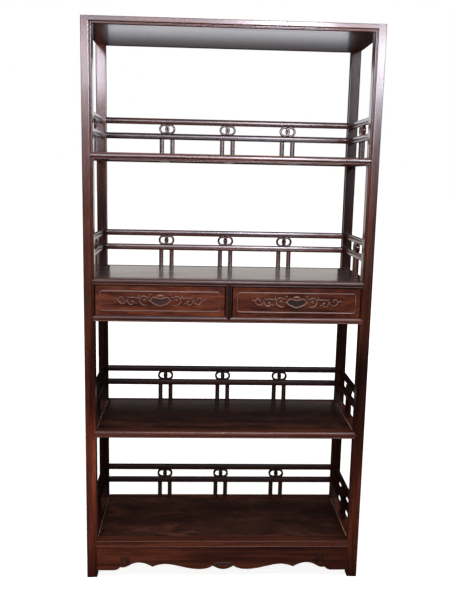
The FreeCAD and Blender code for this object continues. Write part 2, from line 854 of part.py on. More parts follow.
def border_bead():
    """A rounded bead round the drawer front, with clipped corners, standing on its face."""
    outer = [border_wire(-out * border_width, rise * border_relief) for out, rise in border_profile_shares]
    inner = [border_wire(out * border_width, rise * border_relief) for out, rise in border_profile_shares]
    return Part.makeLoft(outer, True, True).cut(Part.makeLoft(inner, True, True))


def drawer_front():
    half = drawer_width / 2
    board = box(-half, half, 0, drawer_front_thick, 0, drawer_height)
    recess = finger_pull()
    recess.translate(Vector(0, 0, drawer_height / 2 - pull_drop))
    groove = box(
        -drawer_inside / 2, drawer_inside / 2, drawer_front_thick - groove_depth, drawer_front_thick + overrun,
        drawer_bottom_height - joint_clearance, drawer_bottom_top + joint_clearance)
    cut = board.cut(both_sides(front_tails(joint_clearance)) + [recess, groove])
    return joined([cut, border_bead()])


def drawer_side():
    """The side towards +X."""
    outer = drawer_width / 2
    inner = outer - drawer_side_thick
    shoulder = drawer_length - drawer_back_thick
    board = box(inner, outer, drawer_front_thick, shoulder, 0, drawer_height)
    under_back = box(inner, outer, shoulder, drawer_length, 0, drawer_bottom_top - joint_clearance)
    over_back = box(inner, outer, shoulder, drawer_length, drawer_back_top + joint_clearance, drawer_height)
    groove = box(
        inner - overrun, inner + groove_depth, drawer_front_thick, drawer_length + overrun,
        drawer_bottom_height - joint_clearance, drawer_bottom_top + joint_clearance)
    whole = joined([board, under_back, over_back] + front_tails(0) + back_tails(0))
    return whole.cut(groove)


def drawer_back():
    half = drawer_width / 2
    front = drawer_length - drawer_back_thick
    board = box(-half, half, front, drawer_length, drawer_bottom_top, drawer_back_top)
    return board.cut(both_sides(back_tails(joint_clearance)))


def drawer_bottom():
    half = drawer_inside / 2
    board = box(
        -half - tongue_length, half + tongue_length, drawer_front_thick, drawer_length,
        drawer_bottom_height, drawer_bottom_top)
    front_tongue = box(
        panel_gap - half, half - panel_gap, drawer_front_thick - tongue_length, drawer_front_thick,
        drawer_bottom_height, drawer_bottom_top)
    return joined([board, front_tongue])


def drawer_pieces():
    side = drawer_side()
    return {
        "front": drawer_front(),
        "right_side": side,
        "left_side": flipped_side(side),
        "back": drawer_back(),
        "bottom": drawer_bottom(),
    }


# Aprons: built along X about x = 0, face at y = 0 and top edge at z = 0

def apron(length, shares):
    half = length / 2
    height = floor_to_bottom_shelf
    edges = [line(Vector(-half, 0, 0), Vector(half, 0, 0))]
    for side in (-1, 1):
        for run in shares:
            points = [Vector(side * across * half, 0, (up - 1) * height) for across, up in run]
            edges.append(smooth_edge(points))
        edges.append(line(Vector(side * half, 0, (shares[-1][-1][1] - 1) * height), Vector(side * half, 0, 0)))
    board = face(edges).extrude(Vector(0, apron_thick, 0))
    return joined([board] + apron_tongues(length, shares, 0, 0))


def apron_tongues(length, shares, clearance, end_gap):
    """Tongues along the top and at both ends, or with a clearance their grooves."""
    half = length / 2
    reach = apron_tongue_length + end_gap
    deep_low = (apron_thick - apron_tongue_thick) / 2 - clearance
    deep_high = (apron_thick + apron_tongue_thick) / 2 + clearance
    end_low = (shares[-1][-1][1] - 1) * floor_to_bottom_shelf
    inset = apron_tongue_inset - clearance
    over_top = box(inset - half, half - inset, deep_low, deep_high, 0, reach)
    right_end = box(half, half + reach, deep_low, deep_high, end_low - clearance, -inset)
    return [over_top, right_end, flipped_side(right_end)]


def apron_grooves(length, shares):
    return apron_tongues(length, shares, joint_clearance, mortise_end_gap)


def front_apron_placed(shape):
    return placed(shape, 0, 0, apron_setback - half_depth, floor_to_bottom_shelf)


def left_apron_placed(shape):
    return placed(shape, -90, apron_setback - half_width, 0, floor_to_bottom_shelf)


front_apron_grooves = [front_apron_placed(cut) for cut in apron_grooves(clear_width, front_apron_shares)]
left_apron_grooves = [left_apron_placed(cut) for cut in apron_grooves(clear_depth, side_apron_shares)]
right_apron_grooves = [flipped_side(cut) for cut in left_apron_grooves]
side_apron_grooves = left_apron_grooves + right_apron_grooves
case_grooves = case_boards_placed(case_board_groove)


# Posts

def left_post(more_cuts):
    """A left post standing at the front, with the mortises that front and back posts share."""
    post = placed(post_section().extrude(Vector(0, 0, cabinet_height)), 0, -half_width, -half_depth, 0)
    cuts = list(more_cuts)
    for name in levels:
        low = levels[name]["low"]
        long_socket = flipped_side(level_socket(name, clear_width, upper_tenon_share))
        short_socket = level_socket(name, clear_depth, lower_tenon_share)
        cuts.append(placed(long_socket, 0, 0, -half_depth, low))
        cuts.append(placed(short_socket, -90, -half_width, 0, low))
    for name in galleried:
        top = levels[name]["low"] + levels[name]["thick"]
        for socket in gallery_sockets(clear_depth):
            cuts.append(placed(socket, -90, gallery_line - half_width, 0, top))
    return post.cut(cuts + left_apron_grooves + [case_grooves[1]])


def front_left_post():
    return left_post(front_apron_grooves)


def back_left_post():
    cuts = [flipped_front(case_grooves[0])]
    for name in galleried:
        top = levels[name]["low"] + levels[name]["thick"]
        for socket in gallery_sockets(clear_width):
            cuts.append(placed(flipped_side(socket), 0, 0, gallery_line - half_depth, top))
    return flipped_front(left_post(cuts))


# All pieces by name

def level_pieces(name):
    """Rails, panel and battens of one level, with the cuts of what stands on them or hangs from them."""
    low = levels[name]["low"]
    cuts = []
    panel = level_panel(name)
    pieces = {}
    if name in battened:
        cuts += batten_mortises(name)
        panel = panel.cut(batten_grooves(name))
        pieces[name + "_battens"] = level_battens(name)
    if name in galleried:
        cuts += gallery_pieces(name, "mortises")
    if name in ("drawer_floor", "drawer_shelf"):
        cuts += divider_sockets() + case_grooves
    if name == "bottom_shelf":
        cuts += front_apron_grooves + side_apron_grooves
    long_rail = level_rail(name, clear_width, upper_tenon_share)
    short_rail = level_rail(name, clear_depth, lower_tenon_share)
    front = placed(long_rail, 0, 0, -half_depth, low)
    back = placed(long_rail, 180, 0, half_depth, low)
    left = placed(short_rail, -90, -half_width, 0, low)
    right = placed(short_rail, 90, half_width, 0, low)
    if cuts:
        front, back, left, right = [piece.cut(cuts) for piece in (front, back, left, right)]
    pieces[name + "_front_rail"] = [front]
    pieces[name + "_back_rail"] = [back]
    pieces[name + "_side_rails"] = [left, right]
    pieces[name + "_panel"] = [panel]
    return pieces


def all_pieces():
    front_post = front_left_post()
    back_post = back_left_post()
    left_apron = left_apron_placed(apron(clear_depth, side_apron_shares))
    case_boards = case_boards_placed(case_board)
    pieces = {
        "post_front_left": [front_post],
        "post_front_right": [flipped_side(front_post)],
        "post_back_left": [back_post],
        "post_back_right": [flipped_side(back_post)],
        "front_apron": [front_apron_placed(apron(clear_width, front_apron_shares))],
        "side_aprons": [left_apron, flipped_side(left_apron)],
        "drawer_divider": [divider()],
        "drawer_case_back": [case_boards[0]],
        "drawer_case_sides": case_boards[1:],
        "drawer_guides": drawer_guides(),
    }
    for name in levels:
        pieces.update(level_pieces(name))
    for name in galleried:
        for kind in ("rails", "rings", "stiles"):
            pieces[name + "_gallery_" + kind] = gallery_pieces(name, kind)
    for kind, shape in drawer_pieces().items():
        for side, name in ((-1, "left_drawer_"), (1, "right_drawer_")):
            x = side * drawer_middle
            y = drawer_setback - half_depth
            pieces[name + kind] = [placed(shape, 0, x, y, drawer_floor_top + drawer_running_gap)]
    return pieces


os.makedirs("parts", exist_ok=True)
for name, solids in all_pieces().items():
    if len(solids) == 1:
        solids[0].exportStep("parts/" + name + ".step")
    else:
        Part.makeCompound(solids).exportStep("parts/" + name + ".step")
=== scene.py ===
import math

import bmesh
import bpy
from mathutils import Matrix, Vector


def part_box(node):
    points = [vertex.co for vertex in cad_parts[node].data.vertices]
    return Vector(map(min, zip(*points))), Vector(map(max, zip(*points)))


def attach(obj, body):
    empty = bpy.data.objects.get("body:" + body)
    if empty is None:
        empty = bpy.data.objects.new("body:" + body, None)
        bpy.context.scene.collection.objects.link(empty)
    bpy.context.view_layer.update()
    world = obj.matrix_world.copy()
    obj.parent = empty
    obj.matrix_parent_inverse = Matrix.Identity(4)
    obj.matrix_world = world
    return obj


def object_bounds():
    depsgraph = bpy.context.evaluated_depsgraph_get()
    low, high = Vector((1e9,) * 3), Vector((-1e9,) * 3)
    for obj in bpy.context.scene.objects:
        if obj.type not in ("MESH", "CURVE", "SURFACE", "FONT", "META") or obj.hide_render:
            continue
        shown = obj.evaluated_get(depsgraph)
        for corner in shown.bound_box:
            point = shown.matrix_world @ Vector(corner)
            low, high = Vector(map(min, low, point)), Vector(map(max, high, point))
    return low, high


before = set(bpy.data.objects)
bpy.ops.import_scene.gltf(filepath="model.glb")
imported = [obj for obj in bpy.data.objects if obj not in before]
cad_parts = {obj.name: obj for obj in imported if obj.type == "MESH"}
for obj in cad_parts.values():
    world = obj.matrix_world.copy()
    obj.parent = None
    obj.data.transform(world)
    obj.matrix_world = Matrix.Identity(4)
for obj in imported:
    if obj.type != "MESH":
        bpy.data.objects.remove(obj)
cad_box = [list(corner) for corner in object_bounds()]

# Lengths are in metres, angles in radians and lights in watts.
# X runs to the right, Y to the back and Z up.

# Camera: its place and angles from the photograph's perspective, its lens and sensor in millimetres,
# and how far it sees
CAMERA_PLACE = (-0.1173, -2.5228, 1.4045)
CAMERA_YAW = 0.0447
CAMERA_PITCH = -0.1707
CAMERA_ROLL = 0.0210
CAMERA_LENS = 42.73
CAMERA_SENSOR = 36.0
CAMERA_REACH = 200.0

# Floor: pale, and brighter far out, so that it meets the white background
FLOOR_HALF = 60.0
FLOOR_PALE = 0.80
FLOOR_ROUGHNESS = 0.9
FLOOR_NEAR = 1.2
FLOOR_FAR = 3.5
FLOOR_NEAR_GLOW = 0.80
FLOOR_FAR_GLOW = 1.05

# Wall that only reflections see, close behind the cabinet and about as wide as its opening.
# What stands nearer to it than WALL_NEAR doesn't see it.
WALL_HALF = 0.44
WALL_HEIGHT = 2.7
WALL_GAP = 0.015
WALL_NEAR = 0.04

# Heights on the wall and its brightness at each. It is warmer below and cooler above.
# The glow is painted light seen in reflections; its dim bands are painted shadows of the shelves and the top.
WALL_WARM = (1.0, 0.94, 0.91)
WALL_COOL = (0.97, 0.97, 1.04)
WARM_GLOWS = (
    (0.0, 0.02), (0.50, 0.02), (0.56, 0.16), (0.585, 0.045), (0.61, 0.01), (0.95, 0.02), (1.04, 0.88),
    (1.45, 0.93))
COOL_GLOWS = ((1.60, 1.6), (1.79, 1.65), (1.83, 0.15), (2.7, 0.15))

# Lights above and behind the camera that only gloss shows: place, width, height and power
GLARE_TINT = (0.95, 0.93, 1.05)
GLARE_TARGET = (0.0, 0.0, 1.4)
GLARE_LIGHTS = {
    "panel": ((-0.55, -4.15, 2.28), 3.3, 1.25, 27.0),
    "strip": ((-0.40, -4.10, 2.375), 2.7, 0.47, 71.0),
    "window": ((0.64, -4.05, 2.70), 0.6, 0.35, 54.0),
    "tall_window": ((0.65, -4.05, 2.10), 0.6, 0.80, 38.0),
    "side_window": ((1.66, -4.05, 2.38), 0.50, 0.45, 58.0),
}

# Lights that light the wood itself: place, target, width, height and power.
# Gloss shows only the one above.
SOFT_TINT = (1.0, 0.97, 0.95)
SOFT_LIGHTS = {
    "front": ((-1.2, -4.5, 1.3), (0.0, 0.0, 1.0), 2.4, 1.8, 130.0),
    "above": ((0.0, -1.1, 3.7), (0.0, -0.3, 0.6), 3.2, 1.0, 45.0),
    "behind": ((0.3, 4.2, 2.6), (0.0, 0.0, 1.0), 3.0, 2.0, 40.0),
    "left_side": ((-4.2, 0.5, 1.7), (0.0, 0.0, 0.9), 2.0, 1.6, 30.0),
    "right_side": ((4.2, 0.5, 1.7), (0.0, 0.0, 0.9), 2.0, 1.6, 30.0),
}

# Even light from all round: its strength for the wood and for gloss, and the white that the camera
# sees
AMBIENT = 0.10
AMBIENT_GLOSS = 0.02
BACKGROUND_GLOW = 1.0

# Sizes from the CAD model: how far the border of a drawer front stands proud of its face, how far
# the finger pull lies below the middle, its half sizes, and where the galleries' flanks start
BORDER_RELIEF = 0.0018
PULL_DROP = 0.0014
PULL_HALF_WIDTH = 0.029
PULL_HALF_HEIGHT = 0.0123
FLANK_START = 0.4455

# Order of the axes that puts the grain's direction first
GRAIN_ORDERS = {"X": (0, 1, 2), "Y": (1, 2, 0), "Z": (2, 0, 1)}

# Wood: dark, middle and light tone of each kind, and its finish, which is its roughness, its gloss,
# and how strong and how rough its varnish is
FRAME_TONES = ((0.036, 0.0074, 0.0044), (0.092, 0.0200, 0.0104), (0.170, 0.0430, 0.0205))
WOODS = {
    "frame_wood": (FRAME_TONES, (0.22, 0.45, 0.15, 0.12)),
    "bare_frame": (FRAME_TONES, (0.30, 0.12, 0.0, 0.13)),
    "dull_frame": (FRAME_TONES, (0.30, 0.13, 0.0, 0.12)),
    "rubbed_frame": (
        ((0.034, 0.0084, 0.0050), (0.094, 0.0230, 0.0118), (0.150, 0.0410, 0.0205)),
        (0.34, 0.30, 0.0, 0.12)),
    "panel_wood": (
        ((0.014, 0.0048, 0.0034), (0.043, 0.0135, 0.0081), (0.106, 0.0345, 0.0190)),
        (0.32, 0.45, 0.45, 0.09)),
    "gallery_wood": (
        ((0.030, 0.0064, 0.0040), (0.074, 0.0165, 0.0090), (0.135, 0.0340, 0.0175)),
        (0.25, 0.45, 0.15, 0.12)),
    # A darker copy of the gallery wood: painted shade on the galleries of the two lower shelves
    "dull_gallery": (
        ((0.007, 0.0016, 0.0010), (0.016, 0.0036, 0.0022), (0.030, 0.0075, 0.0042)),
        (0.45, 0.12, 0.0, 0.12)),
    "drawer_front_wood": (
        ((0.046, 0.0086, 0.0044), (0.132, 0.0272, 0.0124), (0.275, 0.0680, 0.0280)),
        (0.21, 0.40, 0.0, 0.12)),
    "inner_wood": (
        ((0.0380, 0.0140, 0.0080), (0.0700, 0.0280, 0.0150), (0.1150, 0.0500, 0.0260)),
        (0.60, 0.45, 0.0, 0.12)),
    # Paler and greyer than the apron, for the ruyi head's arch
    "worn_apron": (
        ((0.040, 0.0150, 0.0110), (0.078, 0.0350, 0.0270), (0.120, 0.0570, 0.0450)),
        (0.45, 0.20, 0.0, 0.12)),
    # Dark lines on the apron: painted shade in carved grooves
    "dark_apron": (
        ((0.008, 0.0025, 0.0018), (0.016, 0.0052, 0.0038), (0.028, 0.0100, 0.0070)),
        (0.45, 0.20, 0.0, 0.12)),
    # Dark lines under the scrolls: painted shadow
    "settled_wax": (
        ((0.016, 0.0050, 0.0036), (0.032, 0.0098, 0.0068), (0.055, 0.0180, 0.0120)),
        (0.45, 0.20, 0.0, 0.12)),
    # Pale lines along the shelves' seams: painted highlight
    "worn_seam": (
        ((0.210, 0.1300, 0.1100), (0.330, 0.2250, 0.1950), (0.450, 0.3250, 0.2850)),
        (0.40, 0.30, 0.0, 0.12)),
    # Pale raised carving, rim and border line on the drawers: painted highlight
    "worn_ridge": (
        ((0.150, 0.0700, 0.0540), (0.270, 0.1500, 0.1220), (0.370, 0.2250, 0.1880)),
        (0.30, 0.45, 0.2, 0.12)),
}

# Figure and streaks: waves per metre of each, along and across the grain. Two kinds are mottled.
USUAL_FIGURE = ((1.5, 24.0), (4.0, 150.0))
FIGURES = {"panel_wood": ((5.0, 16.0), (26.0, 85.0)), "drawer_front_wood": ((4.0, 26.0), (14.0, 110.0))}

# Detail, roughness and distortion of their noise, their shares, and the levels of the three tones
FIGURE_NOISE = (3.0, 0.55, 0.9)
STREAK_NOISE = (5.0, 0.68, 0.3)
FIGURE_SHARE = 0.5
STREAK_SHARE = 0.5
DARK_LEVEL = 0.38
MIDDLE_LEVEL = 0.50
LIGHT_LEVEL = 0.62

# Finer layers of noise: waves per metre along and across the grain, detail, roughness, distortion
THREADS = (20.0, 900.0, 2.0, 0.6, 0.0)
FLECKS = (90.0, 260.0, 1.0, 0.5, 0.0)
PORES = (75.0, 1500.0, 1.0, 0.5, 0.0)
CLOUDS = (7.0, 12.0, 3.0, 0.6, 0.0)
WAVES = (3.0, 14.0, 1.0, 0.5, 0.0)

# Levels of that noise between which each layer goes from nothing to full
THREAD_LEVELS = (0.35, 0.68)
FLECK_LEVELS = (0.35, 0.65)
PORE_LEVELS = (0.60, 0.72)
CLOUD_LEVELS = (0.3, 0.7)

# What the layers do to colour, roughness and relief
THREAD_DARK = 0.74
THREAD_LIGHT = 1.22
FLECK_DARK = 0.88
FLECK_LIGHT = 1.12
PORE_SHADE = 0.60
PORE_ROUGHNESS = 0.06
POLISH_FINER = 0.03
POLISH_ROUGHER = 0.04
THREAD_RELIEF = 0.3
PORE_RELIEF = -0.7
GROOVE_STRENGTH = 0.02
GROOVE_DEPTH = 0.00008
WAVE_STRENGTH = 0.1
WAVE_DEPTH = 0.00025

# Boards with a kind of their own, by the start of their names. The lower galleries get a darker kind: painted
# shade.
BOARD_KINDS = {
    "middle_shelf_gallery": "dull_gallery", "bottom_shelf_gallery": "dull_gallery",
    "drawer_shelf_front_rail": "rubbed_frame", "drawer_floor_front_rail": "rubbed_frame",
    "middle_shelf_front_rail": "rubbed_frame", "bottom_shelf_front_rail": "rubbed_frame",
    "front_apron": "rubbed_frame", "post_back_right": "dull_frame", "post_back_left": "bare_frame",
}

# Boards that are darker or lighter than their kind, by the start of their names. The back posts' darkness is
# painted shade.
BOARD_TONES_AND_SHADE = {
    "post_front_right": 0.75, "post_back_left": 0.42, "post_back_right": 0.30, "drawer_divider": 0.35,
    "right_drawer_front": 0.88, "left_drawer_front": 0.86,
    "middle_shelf_panel": 1.05, "bottom_shelf_panel": 1.40,
}

# Places in metres along a board's grain, and how light the board is there
# This is partly the board's own tone and partly painted light: painted shade low on the back posts
# and toward the right end of the lower front boards, and a painted highlight high on the back-left post.
BOARD_TONE_AND_LIGHT = {
    "post_front_left": (
        (0.0, 0.6), (0.08, 0.9), (0.20, 1.8), (0.46, 1.9), (0.62, 0.90), (0.80, 0.66), (1.0, 0.40),
        (1.25, 0.85), (1.90, 0.75)),
    "post_front_right": (
        (0.0, 0.35), (0.20, 1.3), (0.34, 1.3), (0.60, 0.36), (0.78, 0.33), (0.90, 0.9), (1.08, 0.7),
        (1.25, 1.0), (1.90, 0.8)),
    "post_back_left": ((0.0, 0.35), (0.85, 0.35), (1.0, 0.9), (1.30, 1.0), (1.50, 3.0), (1.90, 3.5)),
    "post_back_right": ((0.0, 0.5), (0.85, 0.45), (1.0, 0.9), (1.90, 1.0)),
    "right_drawer_front": ((0.0, 1.05), (0.13, 0.74), (0.30, 0.56), (0.44, 0.78)),
    "front_apron": ((-0.44, 1.05), (-0.25, 1.05), (0.10, 0.78), (0.44, 0.50)),
    "bottom_shelf_panel": ((-0.44, 0.95), (-0.15, 1.15), (0.15, 1.0), (0.44, 0.62)),
    "bottom_shelf_front_rail": ((-0.44, 1.1), (-0.25, 1.2), (0.10, 0.85), (0.44, 0.75)),
}

# Boards whose varnish is worn off at one end: two places along the grain, and the varnish at each
BOARD_VARNISH = {"post_back_left": (1.25, 1.50, 0.0, 1.0)}

# Steps along, across and through the endless timber from one board to the next. Across and
# through it they start again after BOARDS_ACROSS and BOARDS_THROUGH boards.
BOARD_STEP_ALONG = 0.83
BOARD_STEP_ACROSS = 0.29
BOARD_STEP_THROUGH = 0.17
BOARDS_ACROSS = 11
BOARDS_THROUGH = 7

# The finger pulls are darker inside than the drawer fronts, a painted shade, and rougher, from the
# first of these depths behind the face to the second
PULL_SHADE_START = 0.003
PULL_SHADE_END = 0.007
PULL_SHADE = 0.42
PULL_ROUGHNESS = 0.62

# Carved lines: how far they stand out of the wood and reach into it, how many points make their
# round top and each span between two given points, and how thin their ends are
LINE_RISE = 0.0022
LINE_SINK = 0.0006
LINE_STEPS = 7
PATH_STEPS = 6
THIN_SHARE = 0.15

# Carved domes: points round each, and rings up to the top
DOME_TURNS = 16
DOME_LEVELS = 4

# Carving beside the finger pull, right half. Places are shares of CARVING_UNIT across and up
# from the pull's middle. Each row has the line's width, the lengths of its tapers and its points.
CARVING_UNIT = 0.1
SCROLL_WIDTH = 0.0034
TENDRIL_WIDTH = 0.0029
SCROLL_SHARES = [
    (SCROLL_WIDTH, 0.25, 0.3, [
        (0.345, 0.165), (0.405, 0.125), (0.485, 0.160), (0.565, 0.178), (0.640, 0.135), (0.680, 0.045),
        (0.655, -0.050), (0.575, -0.110), (0.480, -0.128), (0.395, -0.095)]),
    (TENDRIL_WIDTH, 0.5, 0.2, [
        (0.455, -0.015), (0.475, 0.055), (0.530, 0.080), (0.570, 0.045), (0.545, 0.010)]),
    (TENDRIL_WIDTH, 0.2, 0.3, [
        (0.715, 0.200), (0.715, 0.155), (0.755, 0.120), (0.835, 0.122), (0.920, 0.132), (1.010, 0.122),
        (1.065, 0.138), (1.090, 0.180)]),
    (TENDRIL_WIDTH, 0.3, 0.2, [
        (1.050, 0.085), (1.080, 0.020), (1.050, -0.065), (0.980, -0.110), (0.905, -0.085),
        (0.885, -0.020), (0.930, 0.025), (0.970, 0.000)]),
    (TENDRIL_WIDTH, 0.4, 0.4, [(0.775, -0.085), (0.815, -0.060), (0.855, -0.050)]),
    (TENDRIL_WIDTH, 0.25, 0.2, [
        (1.110, 0.100), (1.125, 0.020), (1.180, -0.055), (1.260, -0.078), (1.340, -0.045),
        (1.385, 0.030), (1.360, 0.110), (1.290, 0.140), (1.230, 0.105), (1.225, 0.050), (1.265, 0.030)]),
    (TENDRIL_WIDTH, 0.3, 0.6, [(1.375, 0.055), (1.430, 0.062), (1.490, 0.090), (1.545, 0.082)]),
    (TENDRIL_WIDTH, 0.4, 0.4, [(0.300, 0.215), (0.340, 0.238), (0.385, 0.215)]),
    (TENDRIL_WIDTH, 0.4, 0.4, [(0.670, 0.085), (0.700, 0.115), (0.735, 0.125)]),
]

# Domes of the same carving, in the same unit: place across and up, half width and half height.
# Those over the pull's middle stand once, the others on both sides.
MIDDLE_DOME_SHARES = [(0.0, 0.212, 0.062, 0.034)]
SIDE_DOME_SHARES = [
    (0.362, 0.022, 0.026, 0.024), (0.528, 0.052, 0.022, 0.022), (0.718, 0.190, 0.020, 0.022),
    (0.935, 0.000, 0.020, 0.018), (0.072, 0.196, 0.036, 0.024),
]

# Rim of the finger pull: the pull's outline in shares of its half sizes, the rim's width and its gap
PULL_OUTLINE_SHARES = [
    (0.0, 0.53), (0.24, 0.73), (0.45, 0.93), (0.66, 1.0), (0.86, 0.81), (1.0, 0.28),
    (0.885, -0.21), (0.52, -0.64), (0.16, -0.91), (0.0, -1.0),
]
PULL_RIM_WIDTH = 0.0036
PULL_RIM_GAP = 0.0010

# The bead round each drawer front: its place, and the width of the pale line along its top, a painted
# highlight
BORDER_SIDE_MARGIN = 0.0155
BORDER_END_MARGIN = 0.0170
BORDER_CLIP = 0.0060
BORDER_LINE_WIDTH = 0.0036
BORDER_END_LINE_WIDTH = 0.0018

# Painted shadow along the lower side of the scrolls, as dark lines: their width to the line's, how far
# down they lie, and their height to the line's
SHADOW_WIDTH_SHARE = 1.7
SHADOW_DROP = 0.0009
SHADOW_RISE_SHARE = 0.3

# Carving on the front apron. Places and widths are in APRON_UNIT, across from the middle and up
# from the floor. APRON_BOARD says where in the timber it is cut.
APRON_UNIT = 0.001
APRON_RISE_SHARE = 0.45
APRON_TAPER_SHARE = 0.15
APRON_BOARD = 1
APRON_LINE_WIDTH = 3.2
RUYI_LINE_WIDTH = 6.5
RUYI_ARCH = [(-33, 40.5), (-29, 48.5), (-14, 51), (0, 51.5), (14, 51), (29, 48.5), (33, 40.5)]
RUYI_SCROLL = [(0, 46.5), (8, 45), (17, 46.5), (24, 45), (26, 41.5), (22.5, 40), (19.5, 42.5)]
MEDALLION_ACROSS = 346
MEDALLION_UP = 63
MEDALLION_RADIUS = 14.5
MEDALLION_STEPS = 24
SPIRAL_START_RADIUS = 2.0
SPIRAL_END_RADIUS = 10.0
SPIRAL_TURNS = 1.75
SPIRAL_STEPS = 22

# Pale lines where the panels of the two lower shelves meet the side rails: painted highlight on the
# seams. SEAM_BOARD says where in the timber they are cut.
SEAM_WIDTH = 0.0022
SEAM_RISE_SHARE = 0.3
PANEL_TONGUE = 0.005
SEAM_BOARD = 2


# Nodes of a material

def add(tree, kind, **values):
    """A new node. Each value is a setting of the node, or else the number in the input of that name."""
    node = tree.nodes.new(kind)
    for key, value in values.items():
        if hasattr(node, key):
            setattr(node, key, value)
        else:
            node.inputs[key.replace("_", " ")].default_value = value
    return node


def new_material(name):
    material = bpy.data.materials.new(name)
    material.use_nodes = True
    tree = material.node_tree
    tree.nodes.clear()
    output = tree.nodes.new("ShaderNodeOutputMaterial")
    shader = tree.nodes.new("ShaderNodeBsdfPrincipled")
    tree.links.new(shader.outputs["BSDF"], output.inputs["Surface"])
    return material, tree, shader


def math_node(tree, operation, first, second=0.0):
    node = add(tree, "ShaderNodeMath", operation=operation)
    for socket, value in zip(node.inputs, (first, second)):
        if isinstance(value, (int, float)):
            socket.default_value = value
        else:
            tree.links.new(value, socket)
    return node.outputs[0]


def weighted(tree, first, first_weight, second, second_weight):
    """The sum of two values, each times its weight."""
    return math_node(tree, "ADD", math_node(tree, "MULTIPLY", first, first_weight),
                     math_node(tree, "MULTIPLY", second, second_weight))


def ramp(tree, value, stops):
    node = tree.nodes.new("ShaderNodeValToRGB")
    points = node.color_ramp.elements
    points[0].position, points[0].color = stops[0][0], (*stops[0][1], 1)
    points[1].position, points[1].color = stops[-1][0], (*stops[-1][1], 1)
    for place, colour in stops[1:-1]:
        points.new(place).color = (*colour, 1)
    tree.links.new(value, node.inputs["Fac"])
    return node.outputs["Color"]


def spread(tree, value, low, high, new_low, new_high):
    """The value, stretched from one range to another and held inside it."""
    node = add(tree, "ShaderNodeMapRange")
    for socket, number in zip(list(node.inputs)[1:5], (low, high, new_low, new_high)):
        socket.default_value = number
    tree.links.new(value, node.inputs["Value"])
    return node.outputs["Result"]


def scaled(tree, colour, factor):
    node = add(tree, "ShaderNodeVectorMath", operation="SCALE")
    tree.links.new(colour, node.inputs[0])
    tree.links.new(factor, node.inputs["Scale"])
    return node.outputs[0]


def object_coordinates(tree):
    return add(tree, "ShaderNodeTexCoord").outputs["Object"]


def axes_of(tree, vector):
    """The vector's X, Y and Z."""
    split = add(tree, "ShaderNodeSeparateXYZ")
    tree.links.new(vector, split.inputs[0])
    return split.outputs


def layer(tree, vector, along, across, detail, rough, distortion):
    """Noise with its waves per metre along and across the grain."""
    scale = add(tree, "ShaderNodeVectorMath", operation="MULTIPLY")
    tree.links.new(vector, scale.inputs[0])
    scale.inputs[1].default_value = (along, across, across)
    noise = add(tree, "ShaderNodeTexNoise", Scale=1.0, Detail=detail, Roughness=rough, Distortion=distortion)
    tree.links.new(scale.outputs[0], noise.inputs["Vector"])
    return noise.outputs["Fac"]


def bump(tree, height, strength, distance):
    node = add(tree, "ShaderNodeBump", Strength=strength, Distance=distance)
    tree.links.new(height, node.inputs["Height"])
    return node


# Wood

def reordered(tree, axes, grain):
    """The vector with the grain's direction as its first axis."""
    joined = add(tree, "ShaderNodeCombineXYZ")
    for socket, axis in zip(joined.inputs, GRAIN_ORDERS[grain]):
        tree.links.new(axes[axis], socket)
    return joined.outputs[0]


def turned_round(tree, axes):
    """Grain along X, and along Y on the two flanks. A Mix node's inputs 4 and 5 are its vectors."""
    distance = math_node(tree, "ABSOLUTE", axes[0])
    flank = math_node(tree, "GREATER_THAN", distance, FLANK_START)
    choose = add(tree, "ShaderNodeMix", data_type="VECTOR")
    tree.links.new(flank, choose.inputs[0])
    tree.links.new(reordered(tree, axes, "X"), choose.inputs[4])
    tree.links.new(reordered(tree, axes, "Y"), choose.inputs[5])
    return choose.outputs[1]


def grain_vector(tree, grain, place):
    """Object coordinates, turned so that the grain always runs along the first axis, and moved
    to the board's own place in the timber."""
    axes = axes_of(tree, object_coordinates(tree))
    turned = turned_round(tree, axes) if grain == "round" else reordered(tree, axes, grain)
    moved = add(tree, "ShaderNodeVectorMath", operation="ADD")
    tree.links.new(turned, moved.inputs[0])
    moved.inputs[1].default_value = place
    return moved.outputs[0]


def figured_colour(tree, vector, kind, tone_and_shade, threads, pores):
    """Broad dark figure and fine streaks, with threads, flecks and pores in them."""
    dark, middle, light = WOODS[kind][0]
    figure_size, streak_size = FIGURES.get(kind, USUAL_FIGURE)
    figure = layer(tree, vector, *figure_size, *FIGURE_NOISE)
    streaks = layer(tree, vector, *streak_size, *STREAK_NOISE)
    level = weighted(tree, figure, FIGURE_SHARE, streaks, STREAK_SHARE)
    colour = ramp(tree, level, ((DARK_LEVEL, dark), (MIDDLE_LEVEL, middle), (LIGHT_LEVEL, light)))
    thread_shade = spread(tree, threads, *THREAD_LEVELS, THREAD_DARK * tone_and_shade, THREAD_LIGHT * tone_and_shade)
    colour = scaled(tree, colour, thread_shade)
    flecks = layer(tree, vector, *FLECKS)
    colour = scaled(tree, colour, spread(tree, flecks, *FLECK_LEVELS, FLECK_DARK, FLECK_LIGHT))
    return scaled(tree, colour, spread(tree, pores, 0.0, 1.0, 1.0, PORE_SHADE))


def tone_and_light_along(tree, colour, vector, place, tone_and_light_stops):
    """The colour times the board's lightness at each place along the grain: partly its own tone, partly
    painted light and shade.
    """
    low = tone_and_light_stops[0][0]
    high = tone_and_light_stops[-1][0]
    share = spread(tree, axes_of(tree, vector)[0], place[0] + low, place[0] + high, 0.0, 1.0)
    stops = [((spot - low) / (high - low), (shade, shade, shade)) for spot, shade in tone_and_light_stops]
    return scaled(tree, colour, ramp(tree, share, stops))


def pull_depth(tree, face):
    """0 on a drawer's face and 1 inside its finger pull."""
    depth = axes_of(tree, object_coordinates(tree))[1]
    return spread(tree, depth, face + PULL_SHADE_START, face + PULL_SHADE_END, 0.0, 1.0)


